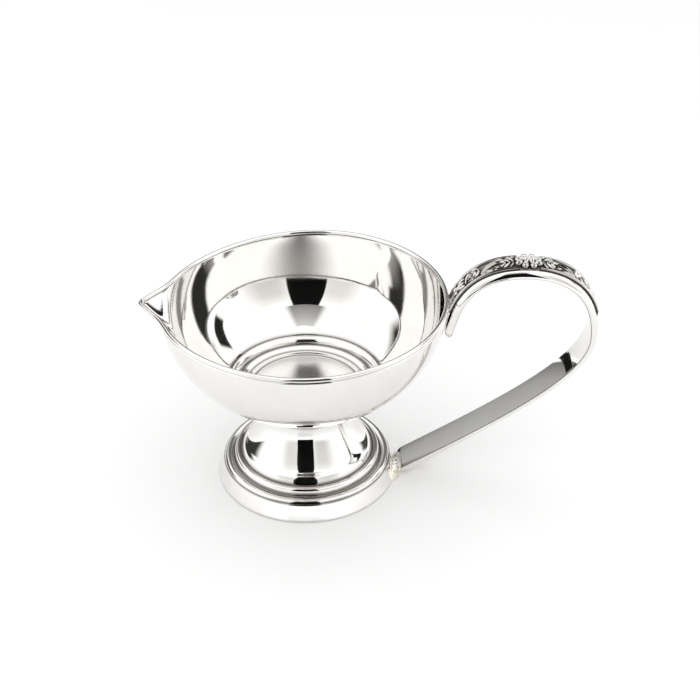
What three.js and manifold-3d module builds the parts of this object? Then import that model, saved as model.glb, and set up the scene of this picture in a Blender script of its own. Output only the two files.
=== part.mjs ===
// Footed silver oil lamp: a spun bowl with a pulled spout on a pedestal foot, and a looped
// strap handle with a scroll ornament. Millimetres, +Z up, the lamp stands on Z = 0, the spout
// points to -X and the handle to +X. Pieces are drawn about the foot's axis, and the finished
// lamp is then moved along X, so that the origin is the middle of its outline on the floor.
import * as THREE from 'three';
import { mergeVertices } from 'three/addons/utils/BufferGeometryUtils.js';
import Module from 'manifold-3d';

const wasm = await Module();
wasm.setup();

// Fits: soldered faces keep a thin film, soldered joints against round walls a wider one.
const SEAM = 0.03;
const JOINT_GAP = 0.3;

// Base band and foot: heights stacked up from the floor, widths stacked out from the neck
const BAND_HEIGHT = 4.6;
const FLANGE_HEIGHT = 0.8;
const BEAD_RISE = 1.5;
const SHOULDER_RISE = 2.2;
const NECK_RISE = 10.6;
const NECK_R = 10;
const TRUMPET_FLARE = 6.4;
const COVE_WIDTH = 0.6;
const BEAD_WIDTH = 1.5;
const GROOVE_WIDTH = 0.6;
const FLANGE_WIDTH = 1.9;
const BAND_FLARE = 2;
const NECK_LENGTH = 1.6;
const NECK_PULL = 5.1;
const SHOULDER_PULL = 1.6;
const SHOULDER_FALL = 1;
const SHOULDER_ROUND = 1;
const SHOULDER_DROP = 1.6;
const BEAD_DROP = 0.8;
const GROOVE_DEPTH = 0.3;
const FOOT_WALL = 0.8;
const BAND_WALL = 0.9;
const BAND_EDGE = 0.35;

// Collar between foot and bowl, stacked on the foot
const COLLAR_LOW_HEIGHT = 1.7;
const COLLAR_HIGH_HEIGHT = 3;
const COLLAR_STEP = 0.3;
const COLLAR_SWELL = 0.6;
const COLLAR_FLARE = 1.4;
const COLLAR_ROUND = 0.4;
const COLLAR_GROOVE = 0.3;

// Bowl, stacked on the collar
const BOWL_R = 35;
const BOWL_HEIGHT = 27.2;
const RIM_FALL = 0.8;
const BOWL_WALL = 0.8;
const BELLY_OUT = 10.6;
const BELLY_RISE = 2;
const SIDE_LEAN = 1;
const SIDE_LENGTH = 13.8;
const WAIST = 1.1;
const WAIST_ANGLE = THREE.MathUtils.degToRad(110);

// Spout: a V pulled out of the wall
const SPOUT_OUT = 5;
const SPOUT_HALF_ANGLE = THREE.MathUtils.degToRad(53);
const SPOUT_DEPTH = 7;
const SPOUT_FILLET = 1.5;
const SPOUT_TIP_ANGLE = THREE.MathUtils.degToRad(1.2);

// Floor of the bowl: a slightly domed disc, a step and a raised ring
const FLOOR_THICKNESS = 1.6;
const FLOOR_DOME = 0.4;
const DISC_R = 13.6;
const DISC_GROOVE = 0.2;
const STEP_WIDTH = 2;
const RING_GAP = 1.4;
const RING_HALF_WIDTH = 1.2;
const RING_HEIGHT = 0.5;

// Rim wire
const WIRE_WIDTH = 1.4;
const WIRE_HEIGHT = 1.1;

// Low block that joins the strap to the base band
const BLOCK_LENGTH = 0.5;
const BLOCK_WIDTH = 9.2;
const BLOCK_FLOOR_GAP = 0.2;
const BLOCK_HEIGHT = 2.1;
const BLOCK_CORNER = 0.4;

// Handle strap, drawn by its inner face
const STRAP_WIDTH = 8.7;
const STRAP_THICKNESS = 1.9;
const STRAP_FOOT_THICKNESS = 2.6;
const STRAP_FLOOR_GAP = 0.4;
const STRAP_EDGE = 0.35;
const STRAP_ROUND = 1.2;
const STRAP_NOSE = 2;
const HANDLE_ANGLE = THREE.MathUtils.degToRad(32.2);
const HANDLE_OUT = 36.35;
const BEND_DROP = 9.6;
const ARCH_OUT = 17.5;
const ARCH_RISE = 9.3;
const LUG_TOP_DROP = 3.6;
const LUG_LENGTH = 6.2;
const RUN_PULL = 26;
const BEND_PULL_BELOW = 11.2;
const BEND_PULL_ABOVE = 12.4;
const ARCH_PULL_OUT = 9.3;
const ARCH_PULL_IN = 8;
const LUG_PULL = 7.6;

// Ornament on the outer face of the arch, placed by its distance from the crown
const PLATE_THICKNESS = 0.3;
const PLATE_TIP = 22.5;
const BORDER_WIDTH = 0.7;
const BORDER_HEIGHT = 0.35;
const ORNAMENT_BEND_SIDE = 19;
const RELIEF_HEIGHT = 0.45;
const STROKE_HALF_WIDTH = 0.3;
const FLOWER_R = 3.1;
const FLOWER_GAP = 0.4;
const FLOWER_PETALS = 8;
const FLOWER_HEIGHT = 1;
const FLOWER_EYE_R = 1.1;
const LARGE_SCROLL_LENGTH = 9;
const SMALL_SCROLL_LENGTH = 4.6;
const END_LEAF_LENGTH = 2.6;
const SCROLL_GAP = 0.7;
const FIELD_MARGIN = 0.2;

// Steps of the curved pieces along the strap, where it bends and where it runs straight
const FINE_STEP = 1.3;
const LONG_STEP = 6;

// Heights, from the floor up
const FLANGE_Z = BAND_HEIGHT + FLANGE_HEIGHT;
const BEAD_Z = FLANGE_Z + BEAD_RISE;
const SHOULDER_Z = BEAD_Z + SHOULDER_RISE;
const NECK_Z = SHOULDER_Z + NECK_RISE;
const COLLAR_WAIST_Z = NECK_Z + COLLAR_LOW_HEIGHT;
const BOWL_SEAT_Z = COLLAR_WAIST_Z + COLLAR_HIGH_HEIGHT;
const RIM_Z = BOWL_SEAT_Z + BOWL_HEIGHT;
const SHEET_TOP_Z = RIM_Z - WIRE_HEIGHT - SEAM;
const BLOCK_TOP_Z = BLOCK_FLOOR_GAP + BLOCK_HEIGHT;
const HANDLE_FOOT_Z = STRAP_FLOOR_GAP + STRAP_FOOT_THICKNESS * Math.cos(HANDLE_ANGLE);

// Radii, from the neck out
const SHOULDER_R = NECK_R + TRUMPET_FLARE;
const BEAD_START_R = SHOULDER_R + COVE_WIDTH;
const BEAD_R = BEAD_START_R + BEAD_WIDTH;
const FLANGE_START_R = BEAD_R + GROOVE_WIDTH;
const FLANGE_R = FLANGE_START_R + FLANGE_WIDTH;
const BASE_R = FLANGE_R + BAND_FLARE;
const COLLAR_WAIST_R = NECK_R + COLLAR_SWELL;
const BOWL_SEAT_R = COLLAR_WAIST_R + COLLAR_FLARE;
const STEP_R = DISC_R + STEP_WIDTH;
const RING_R = STEP_R + RING_GAP + RING_HALF_WIDTH;

const RIM_SLOPE = RIM_FALL / BOWL_R;
const STACK = STRAP_THICKNESS + SEAM + PLATE_THICKNESS;
const PLATE_HALF_WIDTH = STRAP_WIDTH / 2 - STRAP_ROUND;
const FIELD_HALF_WIDTH = PLATE_HALF_WIDTH - BORDER_WIDTH - FIELD_MARGIN;
const LARGE_SCROLL_START = FLOWER_R + FLOWER_GAP;

// Joins successive rings of points into one closed skin. A ring of one point is a pole.
function skin(rings, loop = false) {
  const points = rings.flat();
  const starts = [];
  rings.reduce((n, ring) => (starts.push(n), n + ring.length), 0);
  const faces = [];
  const last = loop ? rings.length : rings.length - 1;
  for (let i = 0; i < last; i++) {
    const k = (i + 1) % rings.length;
    const n = Math.max(rings[i].length, rings[k].length);
    for (let j = 0; j < n; j++) {
      const at = (ring, m) => starts[ring] + (rings[ring].length > 1 ? m % n : 0);
      if (rings[i].length > 1) faces.push(at(i, j), at(i, j + 1), at(k, j + 1));
      if (rings[k].length > 1) faces.push(at(i, j), at(k, j + 1), at(k, j));
    }
  }
  const geometry = new THREE.BufferGeometry();
  geometry.setAttribute('position', new THREE.Float32BufferAttribute(points.flatMap((p) => p.toArray()), 3));
  geometry.setIndex(faces);
  geometry.computeVertexNormals();
  return geometry;
}

function centre(points) {
  return points.reduce((sum, p) => sum.add(p), new THREE.Vector3()).divideScalar(points.length);
}

// A skin along open rings, closed at both ends
function capped(rings) {
  return skin([[centre(rings[0])], ...rings, [centre(rings[rings.length - 1])]]);
}

function turned(profile, segments = 40) {
  const geometry = new THREE.LatheGeometry(profile.map(([r, z]) => new THREE.Vector2(r, z)), segments);
  return geometry.rotateX(Math.PI / 2);
}

function bezier(a, b, c, d) {
  return new THREE.CubicBezierCurve(...[a, b, c, d].map(([x, y]) => new THREE.Vector2(x, y)));
}

function pathPoints(start, draw, divisions) {
  const path = new THREE.Path().moveTo(...start);
  draw(path);
  return path.getPoints(divisions).map((p) => [p.x, p.y]);
}

// Bowl wall: a turned profile, drawn in at the waist and pulled out at the spout
const wallCurve = bezier(
  [BOWL_SEAT_R, BOWL_SEAT_Z],
  [BOWL_SEAT_R + BELLY_OUT, BOWL_SEAT_Z + BELLY_RISE],
  [BOWL_R - SIDE_LEAN, SHEET_TOP_Z - SIDE_LENGTH],
  [BOWL_R, SHEET_TOP_Z],
);

function smoothMax(a, b, blend) {
  const h = Math.max(blend - Math.abs(a - b), 0) / blend;
  return Math.max(a, b) + (h * h * blend) / 4;
}

function spoutRadius(phi, reach) {
  if (phi > Math.PI / 2 - SPOUT_HALF_ANGLE) return 0;
  const turn = Math.hypot(phi, SPOUT_TIP_ANGLE) - SPOUT_TIP_ANGLE;
  return (reach * Math.sin(SPOUT_HALF_ANGLE)) / Math.sin(SPOUT_HALF_ANGLE + turn);
}

// Radius of the wall at a height below the sheet's edge, before any inset
function plan(radius, below, lift, theta) {
  const phi = Math.abs(theta - Math.PI);
  const waist = phi < WAIST_ANGLE ? WAIST * Math.sin((Math.PI * phi) / WAIST_ANGLE) ** 2 : 0;
  const reach = radius + SPOUT_OUT * (1 - below / SPOUT_DEPTH);
  return smoothMax(radius - waist * lift, spoutRadius(phi, reach), SPOUT_FILLET);
}

function wallPoint(u, theta, inset) {
  const p = wallCurve.getPoint(u);
  const t = wallCurve.getTangent(u);
  const below = SHEET_TOP_Z - p.y;
  const lift = ((p.y - BOWL_SEAT_Z) / (SHEET_TOP_Z - BOWL_SEAT_Z)) ** 3;
  const r = plan(p.x, below, lift, theta) - inset * t.y;
  const z = Math.min(p.y + inset * t.x, SHEET_TOP_Z);
  const x = r * Math.cos(theta);
  return new THREE.Vector3(x, r * Math.sin(theta), z + RIM_SLOPE * x * lift);
}

// Directions round the bowl, closer together at the spout
function bowlDirections() {
  const span = Math.PI / 2 - SPOUT_HALF_ANGLE;
  const near = span / 2;
  const fine = 16;
  const coarse = 40;
  const list = [];
  for (let i = 0; i < fine; i++) list.push(Math.PI - near + (2 * near * i) / fine);
  for (let i = 0; i < coarse; i++) list.push(Math.PI + near + (2 * (Math.PI - near) * i) / coarse);
  return list.map((a) => a % (2 * Math.PI)).sort((a, b) => a - b);
}
const directions = bowlDirections();

function circle(r, z) {
  return directions.map((a) => new THREE.Vector3(r * Math.cos(a), r * Math.sin(a), z));
}

function makeBowl() {
  const rises = 13;
  const outer = [];
  const inner = [];
  const ringEdge = RING_R + RING_HALF_WIDTH;
  for (let i = 0; i <= rises; i++) {
    const u = i / rises;
    outer.push(directions.map((a) => wallPoint(u, a, 0)));
    if (wallCurve.getPoint(u).x - BOWL_WALL < ringEdge) continue;
    inner.push(directions.map((a) => wallPoint(u, a, BOWL_WALL)));
  }
  const floor = BOWL_SEAT_Z + FLOOR_THICKNESS;
  const ringFoot = Math.max(wallHeight(ringEdge) + BOWL_WALL, floor + DISC_GROOVE);
  const ringInside = Math.max(wallHeight(RING_R - RING_HALF_WIDTH) + BOWL_WALL, floor + DISC_GROOVE);
  const step = Math.max(wallHeight(STEP_R) + BOWL_WALL, floor);
  const bottom = [
    [ringEdge, ringFoot],
    [RING_R + RING_HALF_WIDTH / 2, ringFoot + RING_HEIGHT * 0.8],
    [RING_R, ringFoot + RING_HEIGHT * 0.9],
    [RING_R - RING_HALF_WIDTH / 2, (ringFoot + ringInside) / 2 + RING_HEIGHT * 0.7],
    [RING_R - RING_HALF_WIDTH, ringInside],
    [STEP_R, step],
    [(STEP_R + DISC_R) / 2, floor],
    [DISC_R, floor - DISC_GROOVE],
    [DISC_R - 2 * DISC_GROOVE, floor],
    [DISC_R / 2, floor + FLOOR_DOME * 0.75],
  ];
  return skin([
    [new THREE.Vector3(0, 0, BOWL_SEAT_Z)],
    ...outer,
    ...inner.reverse(),
    ...bottom.map(([r, z]) => circle(r, z)),
    [new THREE.Vector3(0, 0, floor + FLOOR_DOME)],
  ]);
}

// Height of the wall's outer face at a radius
function wallHeight(radius) {
  let low = 0;
  let high = 1;
  for (let i = 0; i < 40; i++) {
    const u = (low + high) / 2;
    if (wallCurve.getPoint(u).x < radius) low = u;
    else high = u;
  }
  return wallCurve.getPoint(low).y;
}

// Radius of the wall's outer face on the handle side at a height
function wallRadius(height) {
  let low = 0;
  let high = 1;
  for (let i = 0; i < 40; i++) {
    const u = (low + high) / 2;
    if (wallPoint(u, 0, 0).z < height) low = u;
    else high = u;
  }
  return wallPoint(low, 0, 0).x;
}

function makeRimWire() {
  const over = (WIRE_WIDTH - BOWL_WALL) / 2;
  const bottom = SHEET_TOP_Z + SEAM;
  const flank = WIRE_HEIGHT - WIRE_WIDTH / 2;
  const section = [[-BOWL_WALL - over, 0], [over, 0]];
  for (let i = 0; i <= 5; i++) {
    const a = (Math.PI * i) / 5;
    section.push([(Math.cos(a) * WIRE_WIDTH - BOWL_WALL) / 2, flank + (Math.sin(a) * WIRE_WIDTH) / 2]);
  }
  const rings = section.map(([out, up]) => directions.map((a) => {
    const r = plan(BOWL_R, 0, 1, a) + out;
    const x = r * Math.cos(a);
    return new THREE.Vector3(x, r * Math.sin(a), bottom + up + RIM_SLOPE * x);
  }));
  return skin(rings, true);
}

function makeCollar() {
  const waist = COLLAR_WAIST_R;
  const groove = waist - COLLAR_GROOVE;
  const top = BOWL_SEAT_Z - SEAM;
  const profile = pathPoints([NECK_R + COLLAR_STEP, NECK_Z], (path) => {
    path.quadraticCurveTo(waist + COLLAR_ROUND, NECK_Z + COLLAR_ROUND, waist, COLLAR_WAIST_Z - COLLAR_GROOVE);
    path.lineTo(groove, COLLAR_WAIST_Z);
    path.quadraticCurveTo(BOWL_SEAT_R + COLLAR_GROOVE, COLLAR_WAIST_Z + COLLAR_GROOVE, BOWL_SEAT_R, top);
  }, 5);
  return turned([[0, NECK_Z], ...profile, [0, top]]);
}

// Trumpet between neck and shoulder, moved inwards and down by the wall on its inner side
function trumpet(path, inset) {
  const end = SHOULDER_R - SHOULDER_ROUND;
  path.bezierCurveTo(
    NECK_R - inset, NECK_Z - NECK_PULL - inset * 0.4,
    end - SHOULDER_PULL - inset * 0.6, SHOULDER_Z + SHOULDER_FALL - inset * 0.9,
    end - inset * 0.2, SHOULDER_Z - inset,
  );
}

function makeFoot() {
  const top = NECK_Z - SEAM;
  const seat = BAND_HEIGHT + SEAM;
  const shoulderLow = SHOULDER_Z - SHOULDER_DROP;
  const groove = FLANGE_Z - GROOVE_DEPTH;
  const flangeTop = FLANGE_R - FLANGE_WIDTH * 0.45;
  const outer = pathPoints([NECK_R, top], (path) => {
    path.lineTo(NECK_R, NECK_Z - NECK_LENGTH);
    trumpet(path, 0);
    path.quadraticCurveTo(SHOULDER_R, SHOULDER_Z, SHOULDER_R, shoulderLow);
    path.quadraticCurveTo(SHOULDER_R, BEAD_Z, BEAD_START_R, BEAD_Z);
    path.quadraticCurveTo(BEAD_R - BEAD_WIDTH * 0.2, BEAD_Z + BEAD_DROP * 0.6, BEAD_R, BEAD_Z - BEAD_DROP);
    path.quadraticCurveTo(BEAD_R + GROOVE_WIDTH * 0.6, groove, FLANGE_START_R, groove);
    path.quadraticCurveTo(FLANGE_START_R + FLANGE_WIDTH * 0.3, FLANGE_Z, flangeTop, FLANGE_Z);
    path.quadraticCurveTo(FLANGE_R, FLANGE_Z, FLANGE_R, seat);
  }, 4);
  const inner = pathPoints([NECK_R - FOOT_WALL, top], (path) => {
    path.lineTo(NECK_R - FOOT_WALL, NECK_Z - NECK_LENGTH);
    trumpet(path, FOOT_WALL);
    path.lineTo(SHOULDER_R - FOOT_WALL, shoulderLow - FOOT_WALL);
    path.lineTo(BEAD_START_R + FOOT_WALL / 2, BEAD_Z - 2 * FOOT_WALL);
    path.lineTo(FLANGE_START_R - FOOT_WALL, seat);
  }, 4);
  return turned([...inner, ...outer.reverse(), inner[0]]);
}

function makeBand() {
  return turned([
    [FLANGE_R - BAND_WALL, BAND_HEIGHT],
    [BASE_R - BAND_WALL, 0],
    [BASE_R - BAND_EDGE, 0],
    [BASE_R, BAND_EDGE],
    [FLANGE_R, BAND_HEIGHT],
    [FLANGE_R - BAND_WALL, BAND_HEIGHT],
  ]);
}

function solid(geometry) {
  const bare = geometry.clone();
  bare.deleteAttribute('normal');
  bare.deleteAttribute('uv');
  const welded = mergeVertices(bare, 1e-4);
  return new wasm.Manifold(new wasm.Mesh({
    numProp: 3,
    vertProperties: new Float32Array(welded.attributes.position.array),
    triVerts: new Uint32Array(welded.index.array),
  }));
}

function fromSolid(body) {
  const mesh = body.getMesh();
  const geometry = new THREE.BufferGeometry();
  geometry.setAttribute('position', new THREE.Float32BufferAttribute(mesh.vertProperties, 3));
  geometry.setIndex([...mesh.triVerts]);
  geometry.computeVertexNormals();
  return geometry;
}

// Radius of the band's outer face at a height
function bandRadius(z) {
  return BASE_R - (BAND_FLARE * (z - BAND_EDGE)) / (BAND_HEIGHT - BAND_EDGE);
}
const BLOCK_X = bandRadius(BLOCK_FLOOR_GAP) + JOINT_GAP + BLOCK_LENGTH;

// The block is hollowed to the round band, a joint gap clear of it
function makeFootJoint() {
  const start = FLANGE_R;
  const half = BLOCK_WIDTH / 2;
  const shape = new THREE.Shape();
  shape.moveTo(start, -half);
  shape.lineTo(BLOCK_X - BLOCK_CORNER, -half + BLOCK_CORNER);
  shape.quadraticCurveTo(BLOCK_X, -half + BLOCK_CORNER, BLOCK_X, -half + 2 * BLOCK_CORNER);
  shape.lineTo(BLOCK_X, half - 2 * BLOCK_CORNER);
  shape.quadraticCurveTo(BLOCK_X, half - BLOCK_CORNER, BLOCK_X - BLOCK_CORNER, half - BLOCK_CORNER);
  shape.lineTo(start, half);
  const upright = { depth: BLOCK_HEIGHT, bevelEnabled: false, curveSegments: 4 };
  const block = new THREE.ExtrudeGeometry(shape, upright);
  block.translate(0, 0, BLOCK_FLOOR_GAP);
  const room = turned([
    [0, BLOCK_FLOOR_GAP - 1],
    [bandRadius(BLOCK_FLOOR_GAP - 1) + JOINT_GAP, BLOCK_FLOOR_GAP - 1],
    [bandRadius(BLOCK_TOP_Z + 1) + JOINT_GAP, BLOCK_TOP_Z + 1],
    [0, BLOCK_TOP_Z + 1],
  ], 120);
  return fromSolid(solid(block).subtract(solid(room)));
}

// Inner face of the strap as one curve in the XZ plane, from the foot to the end of the lug
function strapCurve() {
  const along = (a, length) => [Math.cos(a) * length, Math.sin(a) * length];
  const foot = [BLOCK_X + JOINT_GAP, HANDLE_FOOT_Z];
  const bend = [BOWL_R + HANDLE_OUT - STRAP_THICKNESS, RIM_Z - BEND_DROP];
  const crown = [BOWL_R + ARCH_OUT, RIM_Z + ARCH_RISE - STRAP_THICKNESS];
  const lugTopZ = RIM_Z - LUG_TOP_DROP;
  const lugMidZ = lugTopZ - LUG_LENGTH / 2;
  const wallLean = wallRadius(lugMidZ + 0.5) - wallRadius(lugMidZ - 0.5);
  const lugFace = (z) => wallRadius(lugMidZ) + wallLean * (z - lugMidZ) + JOINT_GAP + STACK;
  const lugTop = [lugFace(lugTopZ), lugTopZ];
  const lugEnd = [lugFace(lugTopZ - LUG_LENGTH), lugTopZ - LUG_LENGTH];
  const up = Math.atan2(lugTop[1] - lugEnd[1], lugTop[0] - lugEnd[0]);
  const [rx, rz] = along(HANDLE_ANGLE, RUN_PULL);
  const [lx, lz] = along(up, LUG_PULL);
  const curve = new THREE.CurvePath();
  curve.add(bezier(foot, [foot[0] + rx, foot[1] + rz], [bend[0], bend[1] - BEND_PULL_BELOW], bend));
  curve.add(bezier(bend, [bend[0], bend[1] + BEND_PULL_ABOVE], [crown[0] + ARCH_PULL_OUT, crown[1]], crown));
  curve.add(bezier(crown, [crown[0] - ARCH_PULL_IN, crown[1]], [lugTop[0] + lx, lugTop[1] + lz], lugTop));
  curve.add(new THREE.LineCurve(new THREE.Vector2(...lugTop), new THREE.Vector2(...lugEnd)));
  return curve;
}
const strap = strapCurve();
const strapLengths = strap.getCurveLengths();
const STRAP_LENGTH = strapLengths[3];
const CROWN = strapLengths[1];

// Point at a distance along the strap, across it, and out from its inner face
function onStrap(along, across, out) {
  const u = THREE.MathUtils.clamp(along / STRAP_LENGTH, 0, 1);
  const p = strap.getPointAt(u);
  const t = strap.getTangentAt(u);
  return new THREE.Vector3(p.x + t.y * out, across, p.y - t.x * out);
}

// Distances from a to b in steps of about the given length
function steps(a, b, length) {
  const n = Math.max(2, Math.ceil(Math.abs(b - a) / length));
  return Array.from({ length: n + 1 }, (_, i) => a + ((b - a) * i) / n);
}

// Bar section as points across and out: eased edges at its inner face, rounded at its outer
function barSection(halfWidth, low, high, edge, round) {
  const e = Math.min(edge, (high - low) / 2.5, halfWidth / 2.5);
  const r = Math.min(round, (high - low - e) * 0.9, halfWidth / 2.5);
  const inner = (y) => [[y * halfWidth, low + e], [y * (halfWidth - e), low]];
  const outer = (y) => [
    [y * halfWidth, high - r],
    [y * (halfWidth - r * 0.3), high - r * 0.3],
    [y * (halfWidth - r), high],
  ];
  return [...inner(-1).reverse(), ...outer(-1), ...outer(1).reverse(), ...inner(1)];
}

function strapThickness(along) {
  const t = THREE.MathUtils.smoothstep(along, 0, strapLengths[0] * 0.5);
  return THREE.MathUtils.lerp(STRAP_FOOT_THICKNESS, STRAP_THICKNESS, t);
}

// Half width with rounded corners at the ends of the strap
function noseWidth(fromEnd, halfWidth) {
  const missing = Math.max(STRAP_NOSE - fromEnd, 0);
  return halfWidth - STRAP_NOSE + Math.sqrt(Math.max(STRAP_NOSE ** 2 - missing ** 2, 0));
}

function makeStrap() {
  const nose = [0, 0.15, 0.5, 1];
  const places = [
    ...nose.map((d) => d * STRAP_NOSE),
    ...steps(STRAP_NOSE, strapLengths[0] * 0.6, LONG_STEP).slice(1),
    ...steps(strapLengths[0] * 0.6, strapLengths[2], FINE_STEP).slice(1),
    ...nose.toReversed().map((d) => STRAP_LENGTH - d * STRAP_NOSE),
  ];
  return capped(places.map((s) => {
    const half = noseWidth(Math.min(s, STRAP_LENGTH - s), STRAP_WIDTH / 2);
    const section = barSection(half, 0, strapThickness(s), STRAP_EDGE, STRAP_ROUND);
    return section.map(([y, out]) => onStrap(s, y, out));
  }));
}

// Half-round section of the ornament's wires, across and out, in shares of its size
const HALF_ROUND = [[-1, 0], [-0.75, 0.65], [0, 1], [0.75, 0.65], [1, 0]];
const PLATE_LOW = STRAP_THICKNESS + SEAM;
const PLATE_TOP = PLATE_LOW + PLATE_THICKNESS;

// On the bowl side the ornament ends where it would come near the rim wire
function ornamentBowlSide() {
  const clear = BOWL_R + WIRE_WIDTH / 2 + JOINT_GAP;
  let d = LARGE_SCROLL_START;
  while (onStrap(CROWN + d, 0, PLATE_TOP + SEAM + RELIEF_HEIGHT).x > clear) d += 0.1;
  return d - 0.1;
}
const ORNAMENT_BOWL_SIDE = ornamentBowlSide();

function makePlate() {
  const start = CROWN - PLATE_TIP;
  const places = [...steps(start, strapLengths[2], FINE_STEP), STRAP_LENGTH - STRAP_NOSE];
  return capped(places.map((s) => {
    const grow = THREE.MathUtils.smoothstep(s - start, -1, 4);
    const half = PLATE_HALF_WIDTH * (0.85 + 0.15 * grow);
    const top = PLATE_LOW + PLATE_THICKNESS * (0.3 + 0.7 * grow);
    return barSection(half, PLATE_LOW, top, SEAM, SEAM).map(([y, out]) => onStrap(s, y, out));
  }));
}

// The borders stop short of the flower, which is wider than the field
function makeBorder(edge, side) {
  const middle = edge * (PLATE_HALF_WIDTH - BORDER_WIDTH / 2);
  const low = PLATE_TOP + SEAM;
  const nearest = PLATE_HALF_WIDTH - BORDER_WIDTH;
  const start = Math.sqrt(Math.max(FLOWER_R ** 2 - nearest ** 2, 0)) + JOINT_GAP;
  const end = side < 0 ? ORNAMENT_BOWL_SIDE : ORNAMENT_BEND_SIDE;
  const half = BORDER_WIDTH / 2;
  const rings = steps(start, end, FINE_STEP).map((d) => (
    HALF_ROUND.map(([a, h]) => onStrap(CROWN - side * d, middle + a * half, low + h * BORDER_HEIGHT))
  ));
  return capped(side < 0 ? rings : rings.map((ring) => ring.toReversed()));
}

// A raised half-round stroke on the plate along a curve, given by distance from the crown and
// by place across. The half width swells from its ends.
function makeStroke(curve, count, halfWidth, height, side) {
  const low = PLATE_TOP + SEAM;
  const rings = Array.from({ length: count + 1 }, (_, i) => {
    const t = i / count;
    const swell = 0.3 + 0.7 * Math.sin(Math.PI * THREE.MathUtils.clamp(t, 0.04, 0.96)) ** 0.6;
    const p = curve.getPointAt(t);
    const d = curve.getTangentAt(t);
    return HALF_ROUND.map(([a, h]) => {
      const w = a * halfWidth * swell;
      return onStrap(CROWN - side * (p.x - d.y * w), p.y + d.x * w, low + h * height * swell);
    });
  });
  return capped(side < 0 ? rings : rings.map((ring) => ring.toReversed()));
}

// Curling scroll: a tail, a long back and a rolled-in head nearest the flower
function makeScroll(start, length, side) {
  const half = FIELD_HALF_WIDTH - STROKE_HALF_WIDTH;
  const at = (u, v) => new THREE.Vector2(start + length * (1 - u), half * v);
  const curve = new THREE.SplineCurve([
    at(0, -0.3), at(0.3, 0.5), at(0.7, 1), at(0.96, 0.5),
    at(0.94, -0.45), at(0.72, -0.7), at(0.6, -0.15), at(0.7, 0.2),
  ]);
  return makeStroke(curve, 26, STROKE_HALF_WIDTH, RELIEF_HEIGHT, side);
}

function makeLeaf(start, end, from, to, side) {
  const half = FIELD_HALF_WIDTH - STROKE_HALF_WIDTH;
  const bow = (from + to) / 2 - 0.15;
  const curve = new THREE.SplineCurve([
    new THREE.Vector2(start, from * half),
    new THREE.Vector2((start + end) / 2, bow * half),
    new THREE.Vector2(end, to * half),
  ]);
  return makeStroke(curve, 10, STROKE_HALF_WIDTH * 1.5, RELIEF_HEIGHT, side);
}

// Petals round a domed eye, united into one body
function makeFlower() {
  const low = PLATE_TOP + SEAM;
  const dome = (along, across, long, wide, turn, height) => {
    const corners = 10;
    const rings = [1, 0.9, 0.6].map((q) => Array.from({ length: corners }, (_, i) => {
      const a = (Math.PI * 2 * i) / corners;
      const x = Math.cos(a) * long * q;
      const y = Math.sin(a) * wide * q;
      const up = height * Math.sqrt(1 - q * q * 0.999) + (q === 1 ? 0 : 0.1);
      const s = along + x * Math.cos(turn) - y * Math.sin(turn);
      return onStrap(CROWN - s, across + x * Math.sin(turn) + y * Math.cos(turn), low + (q === 1 ? 0 : up));
    }));
    return capped(rings);
  };
  const petals = Array.from({ length: FLOWER_PETALS }, (_, i) => {
    const turn = (Math.PI * 2 * (i + 0.5)) / FLOWER_PETALS;
    const r = (FLOWER_R + FLOWER_EYE_R * 0.6) / 2;
    const long = (FLOWER_R - FLOWER_EYE_R * 0.6) / 2;
    return dome(Math.cos(turn) * r, Math.sin(turn) * r, long, long * 0.85, turn, FLOWER_HEIGHT * 0.7);
  });
  const eye = dome(0, 0, FLOWER_EYE_R, FLOWER_EYE_R, 0, FLOWER_HEIGHT);
  return fromSolid(petals.reduce((body, petal) => body.add(solid(petal)), solid(eye)));
}

const group = new THREE.Group();
group.name = 'oil_lamp';

function addPiece(name, geometry, color, roughness, metalness = 1) {
  const mesh = new THREE.Mesh(geometry, new THREE.MeshStandardMaterial({ color, roughness, metalness }));
  mesh.name = name;
  group.add(mesh);
}

const SILVER = '#d9d7d2';
const ORNAMENT = '#b9b4aa';
const SOLDER = '#c9b98f';

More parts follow.
